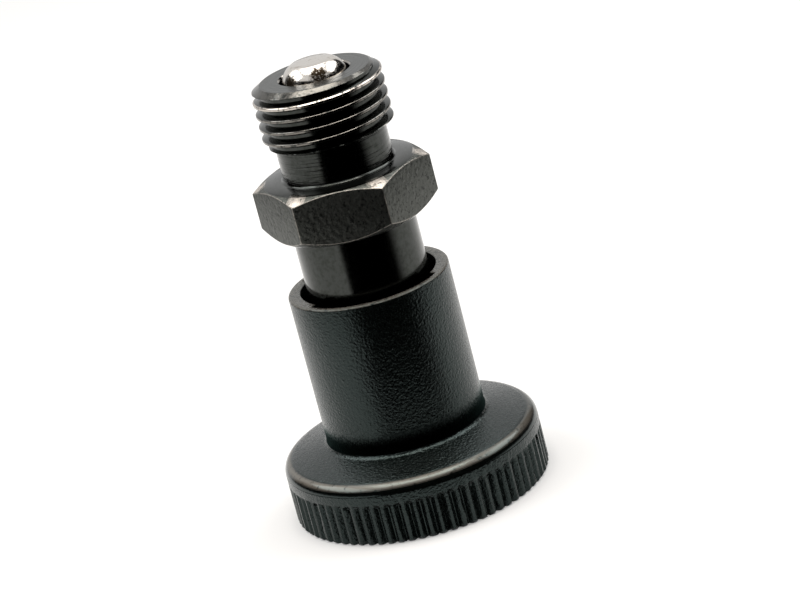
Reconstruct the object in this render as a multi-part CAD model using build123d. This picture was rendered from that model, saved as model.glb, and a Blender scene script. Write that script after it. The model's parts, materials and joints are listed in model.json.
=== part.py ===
from build123d import *
from math import acos, cos, degrees, pi, radians, sin, sqrt, tan
import os

# Indexing plunger with a push knob. A spring holds the pin back in a threaded guide, and pressing the knob drives
# the pin out of the guide's threaded end. Lengths are in millimetres and angles in degrees. The plunger stands on
# its knob: the origin is the centre of the knob's outer face and +Z runs up the axis to the tip of the pin.

# Knob: a knurled disc with a long sleeve that covers the rear of the guide
knob_dia = 32.0
rim_height = 7.4  # outer face to the sharp corner at the top of the rim
rim_radius = 0.5
cone_angle = 14.0  # rise of the disc from its rim to the sleeve
knurl_count = 75
knurl_height = 5.3
knurl_depth = 0.55
knurl_crest = 0.45  # flat left between two flutes
knurl_root = 0.35  # flat at the bottom of a flute
sleeve_height = 28.4  # outer face to the sleeve's mouth
sleeve_dia = 20.0
sleeve_bore_dia = 18.5
sleeve_root_bevel = 0.4
sleeve_edge_bevel = 0.3
floor_height = 7.8  # outer face to the floor inside the sleeve
land_dia = 16.9
land_angle = 67.0
land_count = 2
land_turn = 9.5  # middle of the first land, round from +X

# Threaded insert moulded into the knob
insert_dia = 10.0
insert_length = 6.0

# Guide: thread, undercut, hexagon and shank turned from one bar
thread_dia = 16.0
thread_end_length = 12.0  # hexagon to the threaded end
thread_chamfer_width = 1.25
thread_chamfer_height = 0.75
undercut_dia = 13.6
undercut_length = 4.1
undercut_ramp = 0.7
undercut_bevel = 0.4  # in the corner against the hexagon
hex_width = 19.0
hex_height = 6.7
hex_face_dia = 18.2  # flat left inside the chamfer, on both faces
hex_front_angle = 27.0  # chamfer on the face towards the thread
hex_rear_angle = 34.0
shank_dia = 15.1
shank_chamfer = 0.5
chamber_dia = 12.0
chamber_roof = 1.0  # hexagon's upper face to the top of the spring chamber
mouth_dia = 8.6  # bore widened round the pin at the threaded end
mouth_depth = 2.5

# Pin: working end, collar and stem turned in one
pin_dia = 8.0
pin_nose_radius = 2.5
pin_flat_dia = 5.0  # flat left on the rounded nose
pin_reach = 1.5  # tip above the guide's end while the knob is free
collar_height = 3.0
collar_chamfer = 0.3
stem_dia = 6.0
stem_chamfer = 0.6
stem_gap = 0.5  # end of the stem to the bottom of the insert

# Rear bush and the snap ring that holds it in the guide
bush_height = 3.0
bush_chamfer = 0.5
ring_height = 1.0
ring_width = 1.0
ring_groove_depth = 0.5
ring_inset = 1.1  # guide's rear end to the ring
ring_gap_angle = 50.0

# Return spring
spring_wire_dia = 1.1
spring_wire_sides = 6
spring_mean_dia = 10.0
spring_coils = 4.0  # working coils between the two closed ends
spring_end_coils = 1.0  # closed coils at each end

# Travel
stroke = 7.5
mouth_gap = 0.2  # left between sleeve and hexagon at full stroke
stop_gap = 0.05  # left between guide and knob floor at full stroke

# Radial clearances
pin_clearance = 0.03
collar_clearance = 0.05
stem_clearance = 0.03
bush_clearance = 0.01
ring_clearance = 0.02
thread_clearance = 0.02
spring_clearance = 0.02  # at each end of the spring

# Overrun of cutting tools past the faces they cut
overrun = 1.0

# Straight bands in a rounded edge, few enough to keep the facets down
rim_bands = 2
nose_bands = 3

# Radii
knob_r = knob_dia / 2
pin_r = pin_dia / 2
stem_r = stem_dia / 2
shank_r = shank_dia / 2
sleeve_r = sleeve_dia / 2
chamber_r = chamber_dia / 2
ring_r = chamber_r + ring_groove_depth  # bottom of the ring's groove
nose_r = pin_r - pin_nose_radius  # centre of the nose's rounding, off the axis

# Heights up the axis
sleeve_base = rim_height + (knob_r - sleeve_r) * tan(radians(cone_angle))
guide_rear = floor_height + stroke + stop_gap
hex_bottom = sleeve_height + stroke + mouth_gap
hex_top = hex_bottom + hex_height
guide_end = hex_top + thread_end_length
pin_tip = guide_end + pin_reach
chamber_top = hex_top - chamber_roof
ring_bottom = guide_rear + ring_inset
bush_bottom = ring_bottom + ring_height
collar_bottom = bush_bottom + bush_height
collar_top = collar_bottom + collar_height
insert_bottom = floor_height - insert_length
stem_end = insert_bottom + stem_gap


def turned(points):
    """Solid of revolution about Z from half-section points (radius, height)."""
    return revolve(make_face(Plane.XZ * Polyline(*points, close=True)), Axis.Z)


def rounding(centre, radius, angle, bands):
    """Half-section points from straight out of the centre up to the angle, for an edge rounded in straight bands."""
    steps = [radians(angle * i / bands) for i in range(bands + 1)]
    return [(centre[0] + radius * cos(step), centre[1] + radius * sin(step)) for step in steps]


def flute():
    """One flute of the knurl, with a sloping upper end, as the tool that cuts it at +X."""
    pitch = 2 * pi * knob_r / knurl_count
    half_root = knurl_root / 2
    spread = (pitch - knurl_crest - knurl_root) / 2 / knurl_depth
    root_r = knob_r - knurl_depth
    half_top = half_root + spread * (knurl_depth + overrun)
    section = Polyline(
        (root_r, -half_root),
        (knob_r + overrun, -half_top),
        (knob_r + overrun, half_top),
        (root_r, half_root),
        close=True,
    )
    tool = Pos(Z=-overrun) * extrude(make_face(section), knurl_height + 3 * overrun)
    slope = Plane((knob_r, 0, knurl_height), z_dir=(-1, 0, 1))
    return split(tool, slope, keep=Keep.BOTTOM)


def knob_blank():
    """Disc and sleeve without the cavity or the knurl."""
    slope = tan(radians(cone_angle))
    rim_centre = (knob_r - rim_radius, rim_height + rim_radius * (slope - sqrt(1 + slope**2)))
    return turned(
        [
            (0, 0),
            (knob_r, 0),
            *rounding(rim_centre, rim_radius, 90 - cone_angle, rim_bands),
            (sleeve_r + sleeve_root_bevel, sleeve_base - sleeve_root_bevel * slope),
            (sleeve_r, sleeve_base + sleeve_root_bevel),
            (sleeve_r, sleeve_height - sleeve_edge_bevel),
            (sleeve_r - sleeve_edge_bevel, sleeve_height),
            (0, sleeve_height),
        ]
    )


def lands():
    """Raised lands that run the length of the sleeve's bore."""
    bore_r = (sleeve_bore_dia / 2 + sleeve_r) / 2  # half way into the sleeve's wall
    land_r = land_dia / 2
    section = Polyline(
        (land_r, floor_height),
        (bore_r, floor_height),
        (bore_r, sleeve_height),
        (land_r, sleeve_height),
        close=True,
    )
    land = revolve(make_face(Plane.XZ * section), Axis.Z, land_angle)
    start = land_turn - land_angle / 2
    return [Rot(Z=360 * i / land_count + start) * land for i in range(land_count)]


def insert_envelope():
    """Outside of the threaded insert."""
    return Pos(Z=(insert_bottom + floor_height) / 2) * Cylinder(insert_dia / 2, insert_length)


def make_knob():
    """Moulded knob, hollow above its floor, round the insert, and knurled round the rim."""
    cavity = turned(
        [
            (0, floor_height),
            (sleeve_bore_dia / 2, floor_height),
            (sleeve_bore_dia / 2, sleeve_height + overrun),
            (0, sleeve_height + overrun),
        ]
    )
    body = knob_blank() - cavity - insert_envelope()
    for land in lands():
        body += land
    return body - [turn * flute() for turn in PolarLocations(0, knurl_count)]


def make_insert():
    """Threaded insert, with its thread left as a plain bore."""
    bore_r = stem_r + thread_clearance
    bore = Pos(Z=(insert_bottom + floor_height) / 2) * Cylinder(bore_r, insert_length + 2 * overrun)
    return insert_envelope() - bore


def hexagon():
    """Hexagon chamfered at both faces."""
    face_r = hex_face_dia / 2
    corner_r = hex_width / sqrt(3)
    reach = corner_r + overrun - face_r
    front_drop = reach * tan(radians(hex_front_angle))
    rear_drop = reach * tan(radians(hex_rear_angle))
    prism = Pos(Z=hex_bottom) * extrude(RegularPolygon(corner_r, 6), hex_height)
    cones = turned(
        [
            (0, hex_bottom),
            (face_r, hex_bottom),
            (corner_r + overrun, hex_bottom + rear_drop),
            (corner_r + overrun, hex_top - front_drop),
            (face_r, hex_top),
            (0, hex_top),
        ]
    )
    return prism & cones


def make_guide():
    """Guide body: thread (as a plain cylinder), undercut, hexagon, shank and the stepped bore through them."""
    thread_r = thread_dia / 2
    neck_r = undercut_dia / 2
    neck_top = hex_top + undercut_length
    outside = turned(
        [
            (0, guide_rear),
            (shank_r - shank_chamfer, guide_rear),
            (shank_r, guide_rear + shank_chamfer),
            (shank_r, hex_bottom + hex_height / 2),
            (neck_r + undercut_bevel, hex_bottom + hex_height / 2),
            (neck_r + undercut_bevel, hex_top),
            (neck_r, hex_top + undercut_bevel),
            (neck_r, neck_top),
            (thread_r, neck_top + undercut_ramp),
            (thread_r, guide_end - thread_chamfer_height),
            (thread_r - thread_chamfer_width, guide_end),
            (0, guide_end),
        ]
    )
    bore_r = pin_r + pin_clearance
    mouth_r = mouth_dia / 2
    bore = turned(
        [
            (0, guide_rear - overrun),
            (chamber_r, guide_rear - overrun),
            (chamber_r, chamber_top),
            (bore_r, chamber_top),
            (bore_r, guide_end - mouth_depth),
            (mouth_r, guide_end - mouth_depth),
            (mouth_r, guide_end + overrun),
            (0, guide_end + overrun),
        ]
    )
    groove = turned(
        [
            (chamber_r - overrun, ring_bottom - ring_clearance),
            (ring_r, ring_bottom - ring_clearance),
            (ring_r, bush_bottom + ring_clearance),
            (chamber_r - overrun, bush_bottom + ring_clearance),
        ]
    )
    return outside + hexagon() - bore - groove


def make_pin():
    """Indexing pin with its collar, its stem and a rounded nose."""
    collar_r = chamber_r - collar_clearance
    flat_offset = pin_flat_dia / 2 - nose_r
    nose_centre = (nose_r, pin_tip - sqrt(pin_nose_radius**2 - flat_offset**2))
    nose_angle = degrees(acos(flat_offset / pin_nose_radius))
    return turned(
        [
            (0, stem_end),
            (stem_r - stem_chamfer, stem_end),
            (stem_r, stem_end + stem_chamfer),
            (stem_r, collar_bottom),
            (collar_r - collar_chamfer, collar_bottom),
            (collar_r, collar_bottom + collar_chamfer),
            (collar_r, collar_top - collar_chamfer),
            (collar_r - collar_chamfer, collar_top),
            (pin_r, collar_top),
            *rounding(nose_centre, pin_nose_radius, nose_angle, nose_bands),
            (0, pin_tip),
        ]
    )


def make_bush():
    """Bush that closes the spring chamber, stops the collar and guides the stem."""
    outer_r = chamber_r - bush_clearance
    inner_r = stem_r + stem_clearance
    return turned(
        [
            (inner_r, bush_bottom),
            (outer_r - bush_chamfer, bush_bottom),
            (outer_r, bush_bottom + bush_chamfer),
            (outer_r, collar_bottom),
            (inner_r, collar_bottom),
        ]
    )


def make_ring():
    """Snap ring of flat wire, open over a gap, seated in the guide's groove."""
    outer_r = ring_r - ring_clearance
    section = Polyline(
        (outer_r - ring_width, ring_bottom),
        (outer_r, ring_bottom),
        (outer_r, bush_bottom),
        (outer_r - ring_width, bush_bottom),
        close=True,
    )
    ring = revolve(make_face(Plane.XZ * section), Axis.Z, 360 - ring_gap_angle)
    return Rot(Z=ring_gap_angle / 2) * ring


def make_spring():
    """Compression spring with closed ends, between the collar and the roof of the chamber."""
    # A wire of few sides, with the area of the round one, keeps the facets few. Two flats lie up and down.
    side_angle = 2 * pi / spring_wire_sides
    corner_r = spring_wire_dia / 2 * sqrt(side_angle / sin(side_angle))
    half_wire = corner_r * cos(side_angle / 2)
    low = collar_top + spring_clearance + half_wire
    high = chamber_top - spring_clearance - half_wire
    end_rise = (2 * half_wire + spring_clearance) * spring_end_coils
    rises = [end_rise, high - low - 2 * end_rise, end_rise]
    turns = [spring_end_coils, spring_coils, spring_end_coils]
    coils = []
    z = low
    angle = 0.0
    for rise, count in zip(rises, turns):
        coils.append(Pos(Z=z) * Rot(Z=angle) * Helix(rise / count, rise, spring_mean_dia / 2))
        z += rise
        angle += 360 * count
    path = Wire(coils)
    start = Plane(path @ 0, x_dir=(1, 0, 0), z_dir=path % 0)
    wire = start * RegularPolygon(corner_r, spring_wire_sides, rotation=90 - 180 / spring_wire_sides)
    return sweep(wire, path, is_frenet=True)


PARTS = {
    "guide_body": make_guide,
    "indexing_pin": make_pin,
    "return_spring": make_spring,
    "rear_bush": make_bush,
    "snap_ring": make_ring,
    "knob": make_knob,
    "knob_insert": make_insert,
}

os.makedirs("parts", exist_ok=True)
for name, make in PARTS.items():
    export_step(Part() + make(), f"parts/{name}.step")
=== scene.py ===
"""Looks of an indexing plunger: a knurled push knob, a guide with a thread and a hexagon, and a sprung pin.

Lengths are in millimetres and angles in degrees, until a mesh, a shader or a lamp takes them in metres and
radians. The plunger stands on its knob, and +Z runs up its axis to the tip of the pin.
"""

import json
import logging
from collections.abc import Callable, Iterable, Sequence
from dataclasses import dataclass
from enum import Enum
from math import acos, atan2, ceil, cos, degrees, floor, hypot, pi, radians, sin, sqrt, tan
from typing import ClassVar

import bmesh
import bpy
from mathutils import Matrix, Vector

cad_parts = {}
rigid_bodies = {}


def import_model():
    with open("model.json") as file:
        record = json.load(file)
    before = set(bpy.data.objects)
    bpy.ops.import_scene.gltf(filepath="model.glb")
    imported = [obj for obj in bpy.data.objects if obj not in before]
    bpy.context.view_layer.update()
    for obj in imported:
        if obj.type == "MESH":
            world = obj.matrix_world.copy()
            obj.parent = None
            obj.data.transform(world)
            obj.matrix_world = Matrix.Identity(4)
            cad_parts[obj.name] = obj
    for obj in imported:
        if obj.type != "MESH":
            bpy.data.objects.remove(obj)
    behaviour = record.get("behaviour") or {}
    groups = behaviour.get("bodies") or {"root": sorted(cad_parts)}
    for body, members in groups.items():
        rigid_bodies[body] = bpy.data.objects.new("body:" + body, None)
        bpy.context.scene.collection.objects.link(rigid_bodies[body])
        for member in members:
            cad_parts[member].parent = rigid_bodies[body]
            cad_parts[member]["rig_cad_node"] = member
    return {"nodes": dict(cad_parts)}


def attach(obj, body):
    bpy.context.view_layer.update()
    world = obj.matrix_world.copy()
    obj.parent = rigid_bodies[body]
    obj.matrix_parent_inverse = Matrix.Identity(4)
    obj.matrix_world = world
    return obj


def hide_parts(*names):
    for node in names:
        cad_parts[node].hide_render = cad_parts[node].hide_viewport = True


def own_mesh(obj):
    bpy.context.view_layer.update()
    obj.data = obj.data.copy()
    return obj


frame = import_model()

LOG = logging.getLogger("plunger")
MM = 0.001
MERGE = 1e-6  # metres between points that are one
SHARP_ANGLE = 28.0  # from here on an edge is shaded as a crease
SIXTH = 60.0  # from one of a hexagon's corners to the next
WEAR = "edge_wear"  # the faces' own number, from 0 to 1, for how worn they are and, on the thread's crests and chamfer, the hexagon's corners and the knob's rim, how much painted highlight they carry

Colour = tuple[float, float, float]
Station = Callable[[float], tuple[float, float]]  # from an angle in radians to a radius and a height
Vert, Edge, Face = bmesh.types.BMVert, bmesh.types.BMEdge, bmesh.types.BMFace
Socket = bpy.types.NodeSocket
Value = Socket | float | tuple[float, ...]

WHITE: Colour = (1.0, 1.0, 1.0)
BLACK: Colour = (0.0, 0.0, 0.0)


# ---- Meshes -----------------------------------------------------------------


def polar(radius: float, angle: float, height: float) -> Vector:
    """The point at a radius, an angle in radians and a height, in metres."""
    return Vector((radius * cos(angle), radius * sin(angle), height)) * MM


def reach(point: Vector) -> float:
    """Distance of a point from the axis."""
    return hypot(point.x, point.y)


def bearing(point: Vector) -> float:
    """Angle of a point round the axis, in radians."""
    return atan2(point.y, point.x)


def angle_from(middle: float, angle: float, step: float) -> float:
    """Angle to the nearest of the directions that repeat from the middle at each step."""
    return abs((angle - middle + step / 2) % step - step / 2)


def only(kind: type | tuple[type, ...], items: Iterable[object]) -> list:
    """The items of one kind."""
    return [item for item in items if isinstance(item, kind)]


def at(radius: float, height: float) -> Station:
    """A ring of one radius and height."""
    return lambda angle: (radius, height)


def arc(centre: tuple[float, float], radius: float, start: float, end: float, bands: int) -> list[Station]:
    """Rings along a rounded edge.

    Args:
        centre: radius and height of the rounding's centre.
        radius: radius of the rounding.
        start: first angle, 0 straight out from the axis and 90 straight up.
        end: last angle.
        bands: number of bands between the first ring and the last.

    Returns:
        The rings, the first and the last among them.
    """
    steps = [radians(start + (end - start) * i / bands) for i in range(bands + 1)]
    return [at(centre[0] + radius * cos(step), centre[1] + radius * sin(step)) for step in steps]


def trace(bm: bmesh.types.BMesh, points: Sequence[Vector]) -> list[Vert | Edge]:
    """Draws an open line.

    Args:
        bm: the bmesh that gets it.
        points: its points in order, in metres.

    Returns:
        Its points and edges.
    """
    verts = [bm.verts.new(point) for point in points]
    return verts + [bm.edges.new(pair) for pair in zip(verts, verts[1:])]


def sweep(bm: bmesh.types.BMesh, line: list[Vert | Edge], angle: float, steps: int,
          rise: float = 0.0) -> list[Vert | Edge]:
    """Sweeps a line or an outline round the axis.

    Args:
        bm: the bmesh that holds it.
        line: its points and edges.
        angle: angle of the whole sweep, in radians.
        steps: number of steps.
        rise: climb over the whole sweep.

    Returns:
        The points and edges at the far end.
    """
    last = bmesh.ops.spin(
        bm, geom=line, cent=(0.0, 0.0, 0.0), axis=(0.0, 0.0, 1.0), dvec=(0.0, 0.0, rise / steps * MM),
        angle=angle, steps=steps, use_merge=False, use_normal_flip=False, use_duplicate=False,
    )["geom_last"]
    return only((Vert, Edge), last)


class Turning:
    """A closed skin round the Z axis that grows ring by ring."""

    def __init__(self, columns: int) -> None:
        """Starts an empty skin.

        Args:
            columns: number of points in each ring.
        """
        self.columns = columns
        self.bm = bmesh.new()
        self.wear = self.bm.faces.layers.float.new(WEAR)
        self.edge: list[Edge] = []

    def set_ring(self, verts: Sequence[Vert], station: Station) -> None:
        """Puts the points of a ring at a station.

        Args:
            verts: the ring's points.
            station: where the ring lies.
        """
        for vert in verts:
            angle = bearing(vert.co)
            radius, height = station(angle)
            vert.co = polar(radius, angle, height)

    def take_edge(self, edges: Iterable[Edge], verts: Sequence[Vert]) -> None:
        """Keeps the edges that run between the given points as the open ring."""
        held = set(verts)
        self.edge = [edge for edge in edges if edge.verts[0] in held and edge.verts[1] in held]

    def start(self, station: Station) -> None:
        """Makes the first ring, closed with a flat fan.

        Args:
            station: where the ring lies.
        """
        bmesh.ops.create_circle(self.bm, cap_ends=True, cap_tris=True, segments=self.columns, radius=1.0)
        for vert in self.bm.verts:
            vert.co.z = station(0.0)[1] * MM
        rim = [vert for vert in self.bm.verts if reach(vert.co) > MERGE]
        self.set_ring(rim, station)
        self.take_edge(self.bm.edges, rim)

    def open_ring(self, height: float) -> list[Edge]:
        """The skin's open edges at a height.

        Args:
            height: height of the ring.

        Returns:
            The edges.
        """
        return [
            edge
            for edge in self.bm.edges
            if edge.is_boundary and all(abs(vert.co.z - height * MM) < MERGE for vert in edge.verts)
        ]

    def grow(self, stations: Sequence[Station]) -> None:
        """Adds a band of faces up to each station in turn.

        Args:
            stations: where the rings lie, in order from the open one.
        """
        for station in stations:
            made = bmesh.ops.extrude_edge_only(self.bm, edges=self.edge)["geom"]
            verts = only(Vert, made)
            self.set_ring(verts, station)
            for face in only(Face, made):
                face[self.wear] = 0.0
            self.take_edge(only(Edge, made), verts)

    def close(self, height: float) -> None:
        """Closes the open ring with a fan.

        Args:
            height: height at which the fan meets the axis.
        """
        made = bmesh.ops.extrude_edge_only(self.bm, edges=self.edge)["geom"]
        bmesh.ops.pointmerge(self.bm, verts=only(Vert, made), merge_co=Vector((0.0, 0.0, height * MM)))
        self.edge = []

    def bevel(self, chosen: Callable[[Edge], bool], width: float, segments: int, worn: float) -> None:
        """Rounds the chosen edges and marks the new faces as worn.

        Args:
            chosen: says whether an edge is rounded.
            width: width of the rounding.
            segments: bands in the rounding.
            worn: wear of the new faces, from 0 to 1.
        """
        edges = [edge for edge in self.bm.edges if chosen(edge)]
        made = bmesh.ops.bevel(
            self.bm, geom=edges, offset=width * MM, offset_type="OFFSET", segments=segments, profile=0.5,
            affect="EDGES", material=-1, clamp_overlap=True,
        )
        for face in made["faces"]:
            face[self.wear] = worn


def finish_mesh(bm: bmesh.types.BMesh, name: str) -> bpy.types.Object:
    """Turns a bmesh into a shaded object.

    Args:
        bm: the finished bmesh, freed here.
        name: name of the object.

    Returns:
        The new object, linked to the scene.
    """
    bmesh.ops.remove_doubles(bm, verts=bm.verts, dist=MERGE)
    bmesh.ops.recalc_face_normals(bm, faces=bm.faces)
    for face in bm.faces:
        face.smooth = True
    for edge in bm.edges:
        edge.smooth = edge.is_manifold and edge.calc_face_angle(0.0) < radians(SHARP_ANGLE)
    mesh = bpy.data.meshes.new(name)
    bm.to_mesh(mesh)
    bm.free()
    piece = bpy.data.objects.new(name, mesh)
    bpy.context.scene.collection.objects.link(piece)
    return piece


# ---- Shader groups ----------------------------------------------------------


class Effect(Enum):
    """Surface effects that more than one finish uses."""

    GRAIN = "grain"
    TURNING = "turning marks"
    MOTTLE = "mottle"
    WEAR = "edge wear"
    REACH = "reach from the axis"
    BAND = "height band"
    SPOT = "spot"


@dataclass
class Tree:
    """A node tree under construction."""

    tree: bpy.types.NodeTree

    def node(self, kind: str, *values: Value, **options: object) -> bpy.types.Node:
        """Adds a node.

        Args:
            kind: Blender's name for the node type.
            values: what its first inputs get, in order.
            options: its properties by name.

        Returns:
            The new node.
        """
        made = self.tree.nodes.new(kind)
        for name, option in options.items():
            setattr(made, name, option)
        self.feed(made, *values)
        return made

    def link(self, source: Socket, target: Socket) -> None:
        """Joins two sockets."""
        self.tree.links.new(source, target)

    def feed(self, node: bpy.types.Node, *values: Value, **named: Value) -> None:
        """Links a node's inputs or sets them to numbers.

        Args:
            node: the node.
            values: what its first inputs get, in order.
            named: what its other inputs get, by name with _ for a blank.
        """
        pairs = [*zip(node.inputs, values)]
        pairs += [(node.inputs[name.replace("_", " ")], value) for name, value in named.items()]
        for target, value in pairs:
            if isinstance(value, Socket):
                self.link(value, target)
            else:
                target.default_value = value

    def where(self) -> Socket:
        """The shaded point's place on its piece."""
        return self.node("ShaderNodeTexCoord").outputs["Object"]

    def split(self, place: Socket) -> bpy.types.NodeOutputs:
        """The X, Y and Z of a place."""
        return self.node("ShaderNodeSeparateXYZ", place).outputs

    def join(self, x: Value, y: Value, z: Value) -> Socket:
        """The place with that X, Y and Z."""
        return self.node("ShaderNodeCombineXYZ", x, y, z).outputs[0]

    def maths(self, operation: str, *values: Value) -> Socket:
        """The result of a Math node, by the name of its operation."""
        return self.node("ShaderNodeMath", *values, operation=operation).outputs[0]

    def vectors(self, operation: str, output: str, *values: Value) -> Socket:
        """The result of a Vector Math node, by the names of its operation and its output."""
        return self.node("ShaderNodeVectorMath", *values, operation=operation).outputs[output]

    def spread(self, value: Value, low: Value, high: Value, to_low: float = 0.0,
               to_high: float = 1.0) -> Socket:
        """Maps a value smoothly from one range to another and holds it there.

        Args:
            value: the value to map.
            low: value that becomes to_low.
            high: value that becomes to_high.
            to_low: result at the low end.
            to_high: result at the high end.

        Returns:
            The mapped value.
        """
        ends = (value, low, high, to_low, to_high)
        made = self.node("ShaderNodeMapRange", *ends, clamp=True, interpolation_type="SMOOTHSTEP")
        return made.outputs["Result"]

    def noise(self, place: Socket, scale: Value, **more: Value) -> Socket:
        """Adds noise.

        Args:
            place: where it is read.
            scale: how fine it is, per metre.
            more: other inputs by name.

        Returns:
            The noise, round 0.5.
        """
        made = self.node("ShaderNodeTexNoise")
        self.feed(made, Vector=place, Scale=scale, **more)
        return made.outputs["Fac"]

    def stray(self, noise: Socket, amount: Value) -> Socket:
        """Noise brought round 0, up to half the amount either way."""
        return self.maths("MULTIPLY", self.maths("SUBTRACT", noise, 0.5), amount)


@dataclass
class Effects:
    """Shader node groups for the effects, each built once."""

    grain_detail: float = 3.0
    turning_detail: float = 2.0
    mottle_detail: float = 6.0
    mottle_roughness: float = 0.65
    wear_softness: float = 0.12  # of the noise, to either side of a worn patch's edge
    ragged_scale: float = 5200.0
    spot_scale: float = 4000.0
    spot_detail: float = 6.0
    spot_stray: float = 1.6  # of a blot's size, over which its edge strays
    spot_core: float = 0.55  # of a blot's size, up to which it is whole

    def __post_init__(self) -> None:
        """Builds the groups."""
        self.groups: dict[Effect, bpy.types.NodeTree] = {}
        for make in (self.grain, self.turning, self.mottle, self.wear, self.reach, self.band, self.spot):
            make()

    def begin(self, effect: Effect, inputs: Sequence[str],
              output: str) -> tuple[Tree, bpy.types.NodeOutputs, Socket]:
        """Starts a group and keeps it.

        Args:
            effect: the effect it makes.
            inputs: names of the numbers it takes.
            output: name of the value it gives.

        Returns:
            The tree, the numbers it is given by name, and the socket for its result.
        """
        tree = bpy.data.node_groups.new(effect.value, "ShaderNodeTree")
        for name in inputs:
            tree.interface.new_socket(name, in_out="INPUT", socket_type="NodeSocketFloat")
        tree.interface.new_socket(output, in_out="OUTPUT", socket_type="NodeSocketFloat")
        self.groups[effect] = tree
        build = Tree(tree)
        return build, build.node("NodeGroupInput").outputs, build.node("NodeGroupOutput").inputs[0]

    def grain(self) -> None:
        """Fine irregular pits and bumps."""
        build, given, height = self.begin(Effect.GRAIN, ["Scale"], "Height")
        place = build.where()
        noise = build.noise(place, given["Scale"], Detail=self.grain_detail)
        cells = build.node("ShaderNodeTexVoronoi", feature="SMOOTH_F1")
        build.feed(cells, Vector=place, Scale=given["Scale"])
        both = build.maths("MULTIPLY", noise, cells.outputs["Distance"])
        build.link(build.maths("ADD", both, noise), height)

    def turning(self) -> None:
        """Fine streaks round the axis, on walls and on end faces alike."""
        build, given, height = self.begin(Effect.TURNING, ["Scale", "Streak"], "Height")
        across, along, up = build.split(build.where())
        square = build.maths("ADD", build.maths("POWER", across, 2.0), build.maths("POWER", along, 2.0))
        outwards = build.maths("MULTIPLY", build.maths("SQRT", square), given["Scale"])
        upwards = build.maths("MULTIPLY", up, given["Scale"])
        round_axis = build.maths("MULTIPLY", build.maths("ARCTAN2", along, across), given["Streak"])
        place = build.join(outwards, upwards, round_axis)
        build.link(build.noise(place, 1.0, Detail=self.turning_detail), height)

    def mottle(self) -> None:
        """Soft patches."""
        build, given, mask = self.begin(Effect.MOTTLE, ["Scale", "Low", "High"], "Mask")
        noise = build.noise(
            build.where(), given["Scale"], Detail=self.mottle_detail, Roughness=self.mottle_roughness
        )
        build.link(build.spread(noise, given["Low"], given["High"]), mask)

    def wear(self) -> None:
        """Marked faces brightened as wear and as painted highlight, broken up by noise."""
        build, given, mask = self.begin(Effect.WEAR, ["Scale", "Rubbed"], "Mask")
        marked = build.node("ShaderNodeAttribute", attribute_name=WEAR).outputs["Fac"]
        noise = build.noise(build.where(), given["Scale"])
        edge = build.maths("SUBTRACT", 1.0, given["Rubbed"])
        low = build.maths("SUBTRACT", edge, self.wear_softness)
        patch = build.spread(noise, low, build.maths("ADD", edge, self.wear_softness))
        build.link(build.maths("MULTIPLY", marked, patch), mask)

    def reach(self) -> None:
        """Everything farther from the axis than a radius."""
        build, given, mask = self.begin(Effect.REACH, ["Start", "End"], "Mask")
        flat = build.vectors("MULTIPLY", "Vector", build.where(), (1.0, 1.0, 0.0))
        build.link(build.spread(build.vectors("LENGTH", "Value", flat), given["Start"], given["End"]), mask)

    def band(self) -> None:
        """Everything between two heights, with a ragged upper edge."""
        names = ["Low", "Low Soft", "High", "High Soft", "Ragged"]
        build, given, mask = self.begin(Effect.BAND, names, "Mask")
        place = build.where()
        up = build.split(place)["Z"]
        rise = build.spread(up, given["Low"], build.maths("ADD", given["Low"], given["Low Soft"]))
        height = build.maths("ADD", up, build.stray(build.noise(place, self.ragged_scale), given["Ragged"]))
        top = build.maths("ADD", given["High"], given["High Soft"])
        fall = build.spread(height, given["High"], top, 1.0, 0.0)
        build.link(build.maths("MULTIPLY", rise, fall), mask)

    def spot(self) -> None:
        """A blot round a point, with a ragged edge."""
        build, given, mask = self.begin(Effect.SPOT, ["X", "Y", "Z", "Size"], "Mask")
        place = build.where()
        gap = build.vectors("DISTANCE", "Value", place, build.join(given["X"], given["Y"], given["Z"]))
        noise = build.noise(place, self.spot_scale, Detail=self.spot_detail)
        stray = build.stray(noise, build.maths("MULTIPLY", given["Size"], self.spot_stray))
        core = build.maths("MULTIPLY", given["Size"], self.spot_core)
        build.link(build.spread(build.maths("ADD", gap, stray), core, given["Size"], 1.0, 0.0), mask)


# ---- Patterns and coats -----------------------------------------------------


@dataclass(frozen=True)
class Patches:
    """Soft patches."""

    scale: float  # how fine, per metre
    low: float  # noise at which they start to show
    high: float  # noise at which they are full


@dataclass(frozen=True)
class Marks:
    """Relief of turning marks or grain."""

    scale: float  # how fine, per metre
    depth: float
    strength: float = 1.0
    streak: float = 3.0  # how often a turning mark breaks off, per radian


@dataclass(frozen=True)
class Beyond:
    """Everything beyond a radius."""

    effect: ClassVar[Effect] = Effect.REACH
    start: float
    end: float  # radius at which it is full


@dataclass(frozen=True)
class Band:
    """A band of heights."""

    effect: ClassVar[Effect] = Effect.BAND
    low: float
    high: float
    low_soft: float = 0.1  # height above low over which it fades in
    high_soft: float = 1.0  # height above high over which it fades out
    ragged: float = 0.0  # height over which its upper edge strays


@dataclass(frozen=True)
class Blot:
    """A blot with a ragged edge round a point."""

    effect: ClassVar[Effect] = Effect.SPOT
    x: float
    y: float
    z: float
    size: float


def new_material(name: str, colour: Colour) -> tuple[bpy.types.Material, Tree, bpy.types.Node]:
    """Makes a material with one shader.

    Args:
        name: name of the material.
        colour: its base colour.

    Returns:
        The material, its tree and its shader.
    """
    material = bpy.data.materials.new(name)
    material.use_nodes = True
    shader = material.node_tree.nodes["Principled BSDF"]
    shader.inputs["Base Color"].default_value = (*colour, 1.0)
    return material, Tree(material.node_tree), shader


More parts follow.
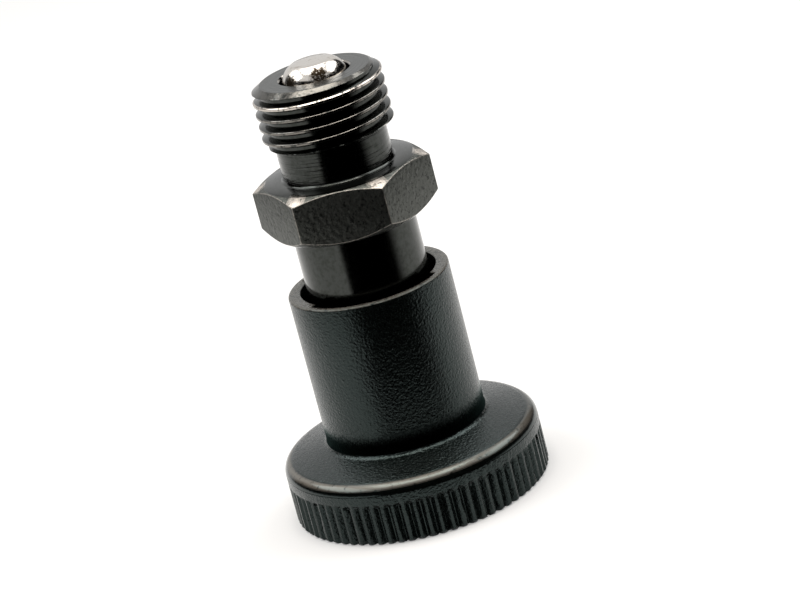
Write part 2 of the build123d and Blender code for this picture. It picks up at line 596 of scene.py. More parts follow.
@dataclass
class Coat:
    """A material under construction, with its shader and the effects laid on it."""

    name: str
    effects: Effects
    colour: Colour
    metallic: float

    def __post_init__(self) -> None:
        """Makes the material and its shader."""
        self.material, self.build, self.shader = new_material(self.name, self.colour)
        self.build.feed(self.shader, Metallic=self.metallic)

    def effect(self, effect: Effect, **values: float) -> Socket:
        """Adds an effect group.

        Args:
            effect: which effect.
            values: the group's inputs by name, with _ for a blank.

        Returns:
            The group's output.
        """
        made = self.build.node("ShaderNodeGroup", node_tree=self.effects.groups[effect])
        self.build.feed(made, **values)
        return made.outputs[0]

    def patches(self, patches: Patches) -> Socket:
        """A mask of soft patches."""
        return self.effect(Effect.MOTTLE, Scale=patches.scale, Low=patches.low, High=patches.high)

    def zone(self, zone: Beyond | Band | Blot) -> Socket:
        """A mask of a zone, whose sizes go to the inputs of the same names."""
        return self.effect(zone.effect, **{name.title(): size * MM for name, size in vars(zone).items()})

    def both(self, first: Socket, second: Socket) -> Socket:
        """Multiplies two masks or heights."""
        return self.build.maths("MULTIPLY", first, second)

    def tint(self, mask: Socket, other: Colour) -> None:
        """Blends the base colour towards another one.

        Args:
            mask: where, from 0 to 1.
            other: the other colour.
        """
        blend = self.build.node("ShaderNodeMix", data_type="RGBA")
        target = self.shader.inputs["Base Color"]
        before = target.links[0].from_socket if target.is_linked else target.default_value[:]
        self.build.feed(blend, Factor=mask, A=before, B=(*other, 1.0))
        self.build.link(blend.outputs["Result"], target)

    def roughen(self, mask: Socket, smooth: float, rough: float) -> None:
        """Drives the roughness between two values by the mask."""
        self.build.feed(self.shader, Roughness=self.build.spread(mask, 0.0, 1.0, smooth, rough))

    def dull(self, mask: Socket, rough: float) -> None:
        """Blends the roughness towards one value.

        Args:
            mask: where, from 0 to 1.
            rough: the roughness there.
        """
        before = self.shader.inputs["Roughness"].links[0].from_socket
        kept = self.both(before, self.build.maths("SUBTRACT", 1.0, mask))
        self.build.feed(self.shader, Roughness=self.build.maths("MULTIPLY_ADD", mask, rough, kept))

    def bump(self, height: Socket, marks: Marks) -> None:
        """Adds relief on top of what is there.

        Args:
            height: height pattern from 0 to 1.
            marks: its strength and depth.
        """
        bump = self.build.node("ShaderNodeBump")
        target = self.shader.inputs["Normal"]
        self.build.feed(bump, Strength=marks.strength, Distance=marks.depth * MM, Height=height)
        if target.is_linked:
            self.build.feed(bump, Normal=target.links[0].from_socket)
        self.build.link(bump.outputs["Normal"], target)

    def turn(self, marks: Marks, mask: Socket | None = None) -> None:
        """Adds turning marks.

        Args:
            marks: how fine and deep they are.
            mask: where they are, or None for everywhere.
        """
        height = self.effect(Effect.TURNING, Scale=marks.scale, Streak=marks.streak)
        self.bump(height if mask is None else self.both(mask, height), marks)

    def grain(self, marks: Marks, mask: Socket) -> None:
        """Adds grain where the mask is."""
        self.bump(self.both(mask, self.effect(Effect.GRAIN, Scale=marks.scale)), marks)


# ---- Finishes ---------------------------------------------------------------


@dataclass(frozen=True)
class BlackOxide:
    """Blackened steel: turned parts shiny and marked, the hexagon dull and pitted, its edges worn bright,
    partly as painted highlight.
    """

    colour: Colour = (0.049, 0.052, 0.049)
    patch: Colour = (0.035, 0.038, 0.034)
    end_face: Colour = (0.074, 0.077, 0.073)
    hexagon: Colour = (0.084, 0.088, 0.080)
    pitted: Colour = (0.030, 0.032, 0.029)
    # worn bare steel, also a painted highlight on the thread's crests and chamfer and on the hexagon's
    # corners
    rubbed: Colour = (0.55, 0.50, 0.45)
    patches: Patches = Patches(1600.0, 0.40, 0.66)
    pits: Patches = Patches(2400.0, 0.53, 0.62)
    gloss: Patches = Patches(3500.0, 0.35, 0.65)
    smooth: float = 0.10
    rough: float = 0.20
    hexagon_rough: float = 0.47
    end_rough: float = 0.27
    rub_scale: float = 1900.0
    rub_share: float = 0.60
    flats: Beyond = Beyond(9.3, 9.4)  # only the hexagon reaches so far
    neck: Band = Band(42.8, 46.9, high_soft=0.2)
    end: Band = Band(54.79, 56.0, low_soft=0.01)
    marks: Marks = Marks(9000.0, depth=0.004, strength=0.35)
    neck_marks: Marks = Marks(3600.0, depth=0.05, streak=1.2)
    end_marks: Marks = Marks(2400.0, depth=0.05, streak=1.2)
    grain: Marks = Marks(1700.0, depth=0.068)

    def make(self, effects: Effects) -> bpy.types.Material:
        """Makes the material.

        Args:
            effects: the shared effects.

        Returns:
            The material.
        """
        coat = Coat("black_oxide", effects, self.colour, 1.0)
        hexagon, neck, end = coat.zone(self.flats), coat.zone(self.neck), coat.zone(self.end)
        coat.tint(coat.patches(self.patches), self.patch)
        coat.tint(end, self.end_face)
        coat.tint(hexagon, self.hexagon)
        coat.tint(coat.both(hexagon, coat.patches(self.pits)), self.pitted)
        # wear, and painted highlight on the faces marked for it
        coat.tint(coat.effect(Effect.WEAR, Scale=self.rub_scale, Rubbed=self.rub_share), self.rubbed)
        coat.roughen(coat.patches(self.gloss), self.smooth, self.rough)
        coat.dull(hexagon, self.hexagon_rough)
        coat.dull(end, self.end_rough)
        coat.turn(self.marks)
        coat.turn(self.neck_marks, neck)
        coat.turn(self.end_marks, end)
        coat.grain(self.grain, hexagon)
        return coat.material


@dataclass(frozen=True)
class BrightSteel:
    """Bright ground and hardened steel with brown stains and, at its working end, a few dark brown patches
    that paint dark reflections there.
    """

    colour: Colour = (0.70, 0.66, 0.61)
    stain: Colour = (0.40, 0.33, 0.26)
    # painted dark reflection on the pin's nose, in a brown tone
    blot: Colour = (0.020, 0.014, 0.008)
    blots: tuple[Blot, ...] = (Blot(0.9, -3.3, 55.3, size=1.3), Blot(-2.8, -2.7, 54.9, size=1.2))
    speckle: Patches = Patches(4600.0, 0.27, 0.43)  # breaks the painted dark reflections up
    stains: Patches = Patches(1100.0, 0.56, 0.70)
    gloss: Patches = Patches(2600.0, 0.35, 0.65)
    smooth: float = 0.10
    rough: float = 0.22
    blot_rough: float = 0.45
    marks: Marks = Marks(12000.0, depth=0.002, strength=0.2, streak=2.0)

    def make(self, effects: Effects) -> bpy.types.Material:
        """Makes the material.

        Args:
            effects: the shared effects.

        Returns:
            The material.
        """
        coat = Coat("bright_steel", effects, self.colour, 1.0)
        coat.tint(coat.patches(self.stains), self.stain)
        coat.roughen(coat.patches(self.gloss), self.smooth, self.rough)
        # painted dark reflections: darker, rougher patches on the nose
        for blot in self.blots:
            mask = coat.both(coat.zone(blot), coat.patches(self.speckle))
            coat.tint(mask, self.blot)
            coat.dull(mask, self.blot_rough)
        coat.turn(self.marks)
        return coat.material


@dataclass(frozen=True)
class TurnedMetal:
    """Plain metal as turned or drawn."""

    name: str
    colour: Colour
    roughness: float
    mark_scale: float
    darker: float = 0.6  # of the colour, in the darker patches
    patches: Patches = Patches(1500.0, 0.5, 0.7)
    gloss: Patches = Patches(2200.0, 0.42, 0.6)
    gloss_range: tuple[float, float] = (0.8, 1.3)  # of the roughness
    mark_depth: float = 0.004
    mark_strength: float = 0.3

    def make(self, effects: Effects) -> bpy.types.Material:
        """Makes the material.

        Args:
            effects: the shared effects.

        Returns:
            The material.
        """
        coat = Coat(self.name, effects, self.colour, 1.0)
        coat.tint(coat.patches(self.patches), tuple(self.darker * part for part in self.colour))
        coat.roughen(coat.patches(self.gloss), *(self.roughness * share for share in self.gloss_range))
        coat.turn(Marks(self.mark_scale, self.mark_depth, self.mark_strength))
        return coat.material


@dataclass(frozen=True)
class BlackPlastic:
    """Moulded black plastic: finely grained, smooth on the rim and worn there with a painted highlight, with
    painted shade low on the sleeve where it meets the disc.
    """

    colour: Colour = (0.0009, 0.0013, 0.0011)
    dusty: Colour = (0.0022, 0.0030, 0.0027)
    # painted shade low on the sleeve, just above the disc: near-black
    corner: Colour = (0.0004, 0.0004, 0.0004)
    sheen: Colour = (0.77, 1.0, 0.965)
    # worn rim, lightened further as a painted highlight along its rounding
    scuffed: Colour = (0.205, 0.184, 0.158)
    refraction: float = 1.45
    dust: Patches = Patches(2400.0, 0.45, 0.7)
    scuff_scale: float = 1400.0
    scuff_share: float = 0.66
    # heights of the painted shade on the sleeve, with a ragged upper edge
    foot: Band = Band(9.12, 10.3, low_soft=0.06, high_soft=1.7, ragged=2.2)
    foot_rough: float = 0.8
    gloss: Patches = Patches(4200.0, 0.3, 0.7)
    smooth: float = 0.18
    rough: float = 0.29
    rim: Beyond = Beyond(14.6, 15.0)
    rim_heights: Band = Band(6.4, 9.0)
    rim_rough: float = 0.15
    rim_worn: float = 0.85  # share of the grain that is worn off the rim
    grained: Marks = Marks(3300.0, depth=0.06)

    def make(self, effects: Effects) -> bpy.types.Material:
        """Makes the material.

        Args:
            effects: the shared effects.

        Returns:
            The material.
        """
        coat = Coat("black_plastic", effects, self.colour, 0.0)
        coat.build.feed(coat.shader, IOR=self.refraction, Specular_Tint=(*self.sheen, 1.0))
        coat.tint(coat.patches(self.dust), self.dusty)
        # wear with a painted highlight on the rim, plain wear at the sleeve's mouth
        coat.tint(coat.effect(Effect.WEAR, Scale=self.scuff_scale, Rubbed=self.scuff_share), self.scuffed)
        # painted shade: the band low on the sleeve is tinted near-black and turned metallic, so it reflects
        # almost nothing
        corner = coat.zone(self.foot)
        coat.tint(corner, self.corner)
        coat.build.feed(coat.shader, Metallic=corner)
        coat.roughen(coat.patches(self.gloss), self.smooth, self.rough)
        rim = coat.both(coat.zone(self.rim_heights), coat.zone(self.rim))
        coat.dull(rim, self.rim_rough)
        coat.dull(corner, self.foot_rough)
        left = coat.build.maths("SUBTRACT", 1.0, coat.build.maths("MULTIPLY", rim, self.rim_worn))
        coat.grain(self.grained, left)
        return coat.material


class Finish(Enum):
    """Finishes of the plunger, by the slot that each one stands for."""

    BLACK_OXIDE = "black_oxide_steel"
    BRIGHT_PIN = "bright_pin_steel"
    SPRING = "spring_steel"
    PLAIN = "plain_steel"
    PLASTIC = "black_plastic"
    BRASS = "insert_brass"


class Paintbox:
    """Every finish's material, made once."""

    def __init__(self) -> None:
        """Builds the effects and the materials."""
        effects = Effects()
        kinds = {
            Finish.BLACK_OXIDE: BlackOxide(),
            Finish.BRIGHT_PIN: BrightSteel(),
            Finish.SPRING: TurnedMetal("spring_wire", (0.42, 0.42, 0.43), roughness=0.3, mark_scale=14e3),
            Finish.PLAIN: TurnedMetal("turned_steel", (0.5, 0.5, 0.5), roughness=0.32, mark_scale=7e3),
            Finish.PLASTIC: BlackPlastic(),
            Finish.BRASS: TurnedMetal("turned_brass", (0.72, 0.52, 0.25), roughness=0.3, mark_scale=7e3),
        }
        self.materials = {finish: kind.make(effects) for finish, kind in kinds.items()}

    def dress(self, piece: bpy.types.Object, finish: Finish) -> None:
        """Puts a finish on a piece.

        Args:
            piece: a new piece, or one that came with the frame.
            finish: its finish.
        """
        material = self.materials[finish]
        if "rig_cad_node" in piece:
            for held in piece.material_slots:
                held.link = "OBJECT"
                held.material = material
            return
        piece.data.materials.append(material)


# ---- Sub-assemblies ---------------------------------------------------------


@dataclass
class Guide:
    """Guide with its thread, undercut, hexagon, shank and stepped bore."""

    columns: int = 192
    thread_radius: float = 8.0
    thread_root: float = 7.10
    pitch: float = 1.5
    crest_share: float = 0.14  # of the pitch, flat on the crest
    crest_rounding: float = 0.28  # of the flank
    root_share: float = 0.24  # of the pitch, flat in the root
    rows_per_turn: int = 36
    crest_angle: float = 6.93  # where a crest stands at crest_height
    crest_height: float = 53.63
    # the crests' wear is partly a painted highlight line
    crest_wear: float = 0.26
    crest_reach: float = 0.07  # of the pitch, worn and brightened as painted highlight above and below the crest
    lead_wear: float = 0.95  # wear and reach on the first turn, most of its brightness a painted highlight
    lead_reach: float = 0.12
    end: float = 54.8
    chamfer_width: float = 1.25
    chamfer_height: float = 0.75
    # the chamfer's wear is partly a painted highlight band
    chamfer_wear: float = 0.13
    neck_radius: float = 6.8
    neck_top: float = 46.9
    ramp: float = 0.7  # height over which the thread runs out to the undercut
    neck_bevel: float = 0.4
    neck_bands: int = 6
    hex_half: float = 9.5
    hex_top: float = 42.8
    hex_bottom: float = 36.1
    face_radius: float = 9.1
    front_angle: float = 27.0
    rear_angle: float = 34.0
    corner_rounding: float = 0.08
    corner_bands: int = 2
    edge_angle: float = 15.0  # from here on a crease of the hexagon is rounded
    edge_slack: float = 0.01
    edge_wear: float = 0.36
    # the bright corners of the hexagon's front chamfer are partly a painted highlight
    corner_wear: float = 0.9
    corner_spread: float = 8.5  # angle from one of the hexagon's corners at which its wear and painted highlight end
    corner_depth: float = 1.0  # below the hexagon's front, where its wear and painted highlight end
    shank_radius: float = 7.55
    shank_chamfer: float = 0.5
    rear: float = 15.35
    mouth_radius: float = 4.3
    mouth_depth: float = 2.5
    mouth_chamfer: float = 0.18
    mouth_wear: float = 0.6
    bore_radius: float = 4.03
    chamber_radius: float = 6.0
    chamber_top: float = 41.8
    groove_radius: float = 6.5
    groove_low: float = 16.43
    groove_high: float = 17.47

    def thread_profile(self, share: float) -> float:
        """Radius of the thread at a share of the pitch away from the crest's middle.

        Args:
            share: 0 at the middle of the crest, 0.5 at the middle of the root.

        Returns:
            The radius.
        """
        crest_end = self.crest_share / 2
        root_start = 0.5 - self.root_share / 2
        down = min(max((share - crest_end) / (root_start - crest_end), 0.0), 1.0)
        drop = (1.0 + self.crest_rounding) * down**2 / (down + self.crest_rounding)
        return self.thread_radius - drop * (self.thread_radius - self.thread_root)

    def thread_at(self, angle: float, height: float) -> tuple[float, float, float]:
        """Point of the thread, its ends cut by the chamfer and by the ramp down to the undercut.

        Args:
            angle: angle round the axis, in radians.
            height: height before the ends are cut.

        Returns:
            The radius, the height and how worn it is there, which on the crests and the chamfer is partly a
            painted highlight.
        """
        crest = self.crest_height + self.pitch * (degrees(angle) - self.crest_angle) / 360
        share = (height - crest) / self.pitch
        share = abs(share - floor(share + 0.5))
        height = min(max(height, self.neck_top), self.end)
        thread = self.thread_profile(share)
        slope = self.chamfer_width / self.chamfer_height
        chamfer = self.thread_radius - self.chamfer_width + slope * (self.end - height)
        climb = (height - self.neck_top) * (self.thread_radius - self.neck_radius)
        ramp = self.neck_radius + climb / self.ramp
        radius = min(thread, chamfer, ramp)
        if radius == chamfer:
            return radius, height, self.chamfer_wear
        first = height > self.crest_height - self.pitch / 2
        wear, spread = (self.lead_wear, self.lead_reach) if first else (self.crest_wear, self.crest_reach)
        on_crest = radius == thread and share <= self.crest_share / 2 + spread
        return radius, height, wear if on_crest else 0.0

    def cut_thread(self, skin: Turning) -> None:
        """Winds the thread's skin.

        Args:
            skin: an empty skin, which gets the thread with an open ring at either end.
        """
        step = self.pitch / self.rows_per_turn
        low = self.neck_top - self.pitch - step
        rows = ceil((self.end + self.pitch + step - low) / step)
        line = trace(skin.bm, [polar(self.thread_radius, 0.0, low + row * step) for row in range(rows + 1)])
        sweep(skin.bm, line, 2 * pi, skin.columns, self.pitch)
        # wear of each point, on the crests and the chamfer partly a painted highlight
        worn: dict[Vert, float] = {}
        for vert in skin.bm.verts:
            angle = bearing(vert.co)
            radius, height, worn[vert] = self.thread_at(angle, vert.co.z / MM)
            vert.co = polar(radius, angle, height)
        for face in skin.bm.faces:
            face[skin.wear] = min(worn[vert] for vert in face.verts)
        bmesh.ops.remove_doubles(skin.bm, verts=skin.bm.verts, dist=MERGE)

    def hexagon(self, height: float, angle: float) -> Station:
        """Outline of the hexagon where its flats meet a chamfer.

        Args:
            height: height of the chamfer's face.
            angle: slope of the chamfer, downwards where it is above 0.

        Returns:
            The ring.
        """

        def station(turn: float) -> tuple[float, float]:
            """Radius and height at an angle in radians."""
            radius = self.hex_half / cos(radians(angle_from(SIXTH / 2, degrees(turn), SIXTH)))
            return radius, height - (radius - self.face_radius) * tan(radians(angle))

        return station

    def build(self) -> bpy.types.Object:
        """Builds the guide's closed skin.

        Returns:
            The guide.
        """
        skin = Turning(self.columns)
        self.cut_thread(skin)
        front, back = skin.open_ring(self.end), skin.open_ring(self.neck_top)
        bevel_centre = (self.neck_radius + self.neck_bevel, self.hex_top + self.neck_bevel)
        skin.edge = front
        skin.grow([
            at(self.mouth_radius + self.mouth_chamfer, self.end),
            at(self.mouth_radius, self.end - self.mouth_chamfer),
            at(self.mouth_radius, self.end - self.mouth_depth),
            at(self.bore_radius, self.end - self.mouth_depth),
            at(self.bore_radius, self.chamber_top),
            at(self.chamber_radius, self.chamber_top),
            at(self.chamber_radius, self.groove_high),
            at(self.groove_radius, self.groove_high),
            at(self.groove_radius, self.groove_low),
            at(self.chamber_radius, self.groove_low),
            at(self.chamber_radius, self.rear),
            at(self.shank_radius - self.shank_chamfer, self.rear),
        ])
        skin.edge = back
        skin.grow([
            *arc(bevel_centre, self.neck_bevel, 180.0, 270.0, self.neck_bands),
            at(self.face_radius, self.hex_top),
            self.hexagon(self.hex_top, self.front_angle),
            self.hexagon(self.hex_bottom, -self.rear_angle),
            at(self.face_radius, self.hex_bottom),
            at(self.shank_radius, self.hex_bottom),
            at(self.shank_radius, self.rear + self.shank_chamfer),
            at(self.shank_radius - self.shank_chamfer, self.rear),
        ])
        bmesh.ops.remove_doubles(skin.bm, verts=skin.bm.verts, dist=MERGE)
        self.rub_edges(skin)
        skin.bevel(self.is_hexagon_edge, self.corner_rounding, self.corner_bands, self.edge_wear)
        return finish_mesh(skin.bm, "threaded_guide")

    def rub_edges(self, skin: Turning) -> None:
        """Marks the bore's chamfer as worn, and the hexagon's front chamfer near its corners as worn with a
        painted highlight.

        Args:
            skin: the guide's skin.
        """
        for face in skin.bm.faces:
            spot = face.calc_center_median() / MM
            out = reach(spot)
            on_mouth = self.end - self.mouth_chamfer < spot.z < self.end
            if on_mouth and out < self.mouth_radius + self.mouth_chamfer:
                face[skin.wear] = self.mouth_wear
            on_front = self.hex_top - self.corner_depth < spot.z < self.hex_top
            if on_front and out >= self.face_radius:
                # near each corner: wear and painted highlight, fading away from it
                gap = angle_from(0.0, degrees(bearing(spot)), SIXTH)
                face[skin.wear] = self.corner_wear * max(1.0 - (gap / self.corner_spread) ** 2, 0.0)

    def is_hexagon_edge(self, edge: Edge) -> bool:
        """Says whether an edge runs along a corner or a chamfer of the hexagon.

        Args:
            edge: an edge of the skin.

        Returns:
            True if it is one to round.
        """
        if any(reach(vert.co / MM) < self.hex_half - self.edge_slack for vert in edge.verts):
            return False
        return edge.calc_face_angle(0.0) > radians(self.edge_angle)


@dataclass
class Pin:
    """Pin with its working end, collar and stem."""

    columns: int = 128
    radius: float = 4.0
    nose_radius: float = 2.5
    nose_bands: int = 16
    flat_radius: float = 2.5
    flat_ring: float = 1.5  # radius of a ring that keeps the flat's shading even
    tip: float = 56.3
    collar_radius: float = 5.95
    collar_top: float = 23.45
    collar_bottom: float = 20.45
    collar_chamfer: float = 0.3
    stem_radius: float = 3.0
    stem_end: float = 2.3
    stem_chamfer: float = 0.6

    def build(self) -> bpy.types.Object:
        """Builds the pin's closed skin.

        Returns:
            The pin.
        """
        offset = self.radius - self.nose_radius
        across = self.flat_radius - offset
        centre = (offset, self.tip - sqrt(self.nose_radius**2 - across**2))
        skin = Turning(self.columns)
        skin.start(at(self.stem_radius - self.stem_chamfer, self.stem_end))
        skin.grow([
            at(self.stem_radius, self.stem_end + self.stem_chamfer),
            at(self.stem_radius, self.collar_bottom),
            at(self.collar_radius - self.collar_chamfer, self.collar_bottom),
            at(self.collar_radius, self.collar_bottom + self.collar_chamfer),
            at(self.collar_radius, self.collar_top - self.collar_chamfer),
            at(self.collar_radius - self.collar_chamfer, self.collar_top),
            at(self.radius, self.collar_top),
            *arc(centre, self.nose_radius, 0.0, degrees(acos(across / self.nose_radius)), self.nose_bands),
            at(self.flat_ring, self.tip),
        ])
        skin.close(self.tip)
        return finish_mesh(skin.bm, "locating_pin")


@dataclass
class Spring:
    """Return spring of round wire with closed ends."""

    wire: float = 1.1
    mean_radius: float = 5.0
    low: float = 23.47
    high: float = 41.78
    seat: float = 41.8  # the guide's shoulder, towards which it flattens
    coils: float = 4.0
    end_gap: float = 0.02
    steps: int = 48
    sides: int = 16
    stroke: float = 7.5

    def build(self) -> bpy.types.Object:
        """Winds the wire round the axis.

        Returns:
            The spring.
        """
        bm = bmesh.new()
        half = self.wire / 2
        centre = Vector((self.mean_radius, 0.0, self.low + half)) * MM
        facing = Matrix.Translation(centre) @ Matrix.Rotation(pi / 2, 4, "X")
        bmesh.ops.create_circle(bm, cap_ends=True, segments=self.sides, radius=half * MM, matrix=facing)
        outline = [*bm.verts, *bm.edges]
        end_rise = self.wire + self.end_gap
        climb = self.high - self.low - self.wire - 2 * end_rise
        for rise, turns in ((end_rise, 1.0), (climb, self.coils), (end_rise, 1.0)):
            outline = sweep(bm, outline, 2 * pi * turns, int(self.steps * turns), rise)
        bmesh.ops.contextual_create(bm, geom=only(Edge, outline))
        return finish_mesh(bm, "return_spring_wire")

    def kept(self) -> float:
        """Share of the spring's length that is left at full travel."""
        return (self.seat - self.low - self.stroke) / (self.seat - self.low)


@dataclass
class Knob:
    """Moulded knob: a knurled disc with a long sleeve."""

    flutes: int = 75
    radius: float = 16.0
    rim_height: float = 7.4
    rim_radius: float = 1.4
    rim_bands: int = 12
    cone_angle: float = 14.0
    cone_rings: tuple[float, ...] = (14.0, 12.0)
    face_chamfer: float = 0.3
    knurl_height: float = 5.3
    knurl_depth: float = 0.7
    knurl_rows: tuple[float, ...] = (1.5, 3.0, 4.4, 4.7, 4.85, 5.0, 5.15)  # closer where the flutes run out
    scuff_radius: float = 15.32  # where the rim is worn and carries a painted highlight
    scuff_spread: float = 0.47  # how far to either side
    scuff_side: float = -100.0  # direction in which the wear and its painted highlight are strongest
    scuff_least: float = 0.15
    mouth_wear: float = 0.5
    sleeve_radius: float = 10.0
    sleeve_top: float = 28.4
    sleeve_base: float = 8.896
    sleeve_rings: tuple[float, ...] = (15.0, 22.0)
    root_radius: float = 0.8
    root_bands: int = 10
    edge_radius: float = 0.3
    edge_bands: int = 4
    bore_radius: float = 9.25
    land_radius: float = 8.45
    land_half_angle: float = 33.5
    land_turn: float = 9.5
    mouth_rounding: float = 0.12
    mouth_step: float = 0.3  # of the rounding, where its middle ring lies
    bore_floor: float = 7.8
    insert_radius: float = 5.0
    insert_bottom: float = 1.8
    flute_profile: tuple[tuple[float, float], ...] = (
        (0.0, 1.0), (0.06, 0.97), (0.24, 0.62), (0.43, 0.13), (0.51, 0.0),
        (0.67, 0.0), (0.83, 0.0), (0.91, 0.13), (1.10, 0.62), (1.28, 0.97),
    )  # distance along the rim and share of the depth at each point of a flute

    def flute(self, angle: float) -> tuple[float, float]:
        """Place on the knurl of one of the ring's evenly spaced points.

        Args:
            angle: the point's even angle in radians.

        Returns:
            The point's real angle in radians and the depth there.
        """
        points = len(self.flute_profile)
        index = round(angle / (2 * pi) * self.flutes * points) % (self.flutes * points)
        along, share = self.flute_profile[index % points]
        return 2 * pi * (index // points) / self.flutes + along / self.radius, share * self.knurl_depth

    def knurled(self, height: float) -> Station:
        """A ring of the rim at a height, cut by the flutes.

        Args:
            height: height of the ring.

        Returns:
            The ring.
        """
        edge = min(self.radius, self.radius - self.face_chamfer + height)
        runout = max(self.knurl_height - height, 0.0)

        def station(angle: float) -> tuple[float, float]:
            """Radius and height at an angle in radians."""
            return min(edge, self.radius - min(self.flute(angle)[1], runout)), height

        return station

    def bore(self, extra: float, height: float) -> Station:
        """A ring of the sleeve's bore with its raised lands.

        Args:
            extra: how far the ring is widened.
            height: height of the ring.

        Returns:
            The ring.
        """

        def station(angle: float) -> tuple[float, float]:
            """Radius and height at an angle in radians."""
            on_land = angle_from(self.land_turn, degrees(angle), 180.0) < self.land_half_angle
            return (self.land_radius if on_land else self.bore_radius) + extra, height

        return station

    def cut_knurl(self, skin: Turning) -> None:
        """Makes the rim with its flutes, from the face up.

        Args:
            skin: an empty skin.
        """
        skin.start(self.knurled(0.0))
        rows = (self.face_chamfer, *self.knurl_rows, self.knurl_height)
        skin.grow([self.knurled(height) for height in rows])
        for vert in skin.bm.verts:
            radius = reach(vert.co)
            if radius > MERGE:
                angle = self.flute(bearing(vert.co))[0]
                vert.co.x, vert.co.y = radius * cos(angle), radius * sin(angle)

    def rub(self, skin: Turning) -> None:
        """Marks the rim as worn with a painted highlight, strongest towards one side, and the sleeve's mouth
        as worn.

        Args:
            skin: the knob's skin.
        """
        for face in skin.bm.faces:
            spot = face.calc_center_median() / MM
            out = reach(spot)
            across = 1.0 - ((out - self.scuff_radius) / self.scuff_spread) ** 2
            if spot.z > self.knurl_height and across > 0.0:
                # the painted highlight is brightest towards one side and fades round the rest of the rim
                near = (0.5 + 0.5 * cos(bearing(spot) - radians(self.scuff_side))) ** 2
                face[skin.wear] = across * (self.scuff_least + (1.0 - self.scuff_least) * near)
            elif spot.z > self.sleeve_top - self.edge_radius / 2 and out > self.land_radius:
                face[skin.wear] = self.mouth_wear

    def build(self) -> bpy.types.Object:
        """Builds the knob's closed skin.

        Returns:
            The knob.
        """
        slope = tan(radians(self.cone_angle))
        rim_drop = self.rim_radius * (slope - sqrt(1 + slope**2))
        root_rise = self.root_radius * (sqrt(1 + slope**2) - slope)
        rim = (self.radius - self.rim_radius, self.rim_height + rim_drop)
        root = (self.sleeve_radius + self.root_radius, self.sleeve_base + root_rise)
        edge = (self.sleeve_radius - self.edge_radius, self.sleeve_top - self.edge_radius)
        step = self.mouth_step * self.mouth_rounding
        skin = Turning(self.flutes * len(self.flute_profile))
        self.cut_knurl(skin)
        skin.grow([
            *arc(rim, self.rim_radius, 0.0, 90.0 - self.cone_angle, self.rim_bands),
            *(at(radius, self.rim_height + (self.radius - radius) * slope) for radius in self.cone_rings),
            *arc(root, self.root_radius, 270.0 - self.cone_angle, 180.0, self.root_bands),
            *(at(self.sleeve_radius, height) for height in self.sleeve_rings),
            *arc(edge, self.edge_radius, 0.0, 90.0, self.edge_bands),
            self.bore(self.mouth_rounding, self.sleeve_top),
            self.bore(step, self.sleeve_top - step),
            self.bore(0.0, self.sleeve_top - self.mouth_rounding),
            self.bore(0.0, self.bore_floor),
            at(self.insert_radius, self.bore_floor),
            at(self.insert_radius, self.insert_bottom),
        ])
        skin.close(self.insert_bottom)
        self.rub(skin)
        return finish_mesh(skin.bm, "knurled_knob")


# ---- Studio -----------------------------------------------------------------


@dataclass(frozen=True)
class Lamp:
    """A soft rectangular lamp that faces the plunger."""

    name: str
    azimuth: float  # round the axis, from the camera's side to its right
    elevation: float
    distance: float
    size: tuple[float, float]
    watts: float
    colour: Colour = WHITE


@dataclass(frozen=True)
class Card:
    """A black card bent round the plunger, with soft ends."""

    name: str
    start: float  # round the axis, from the camera's side to its right
    end: float
    fade_in: float  # angle over which it fades in at its start
    fade_out: float
    profile: tuple[tuple[float, float], ...]  # radius and height of its edges


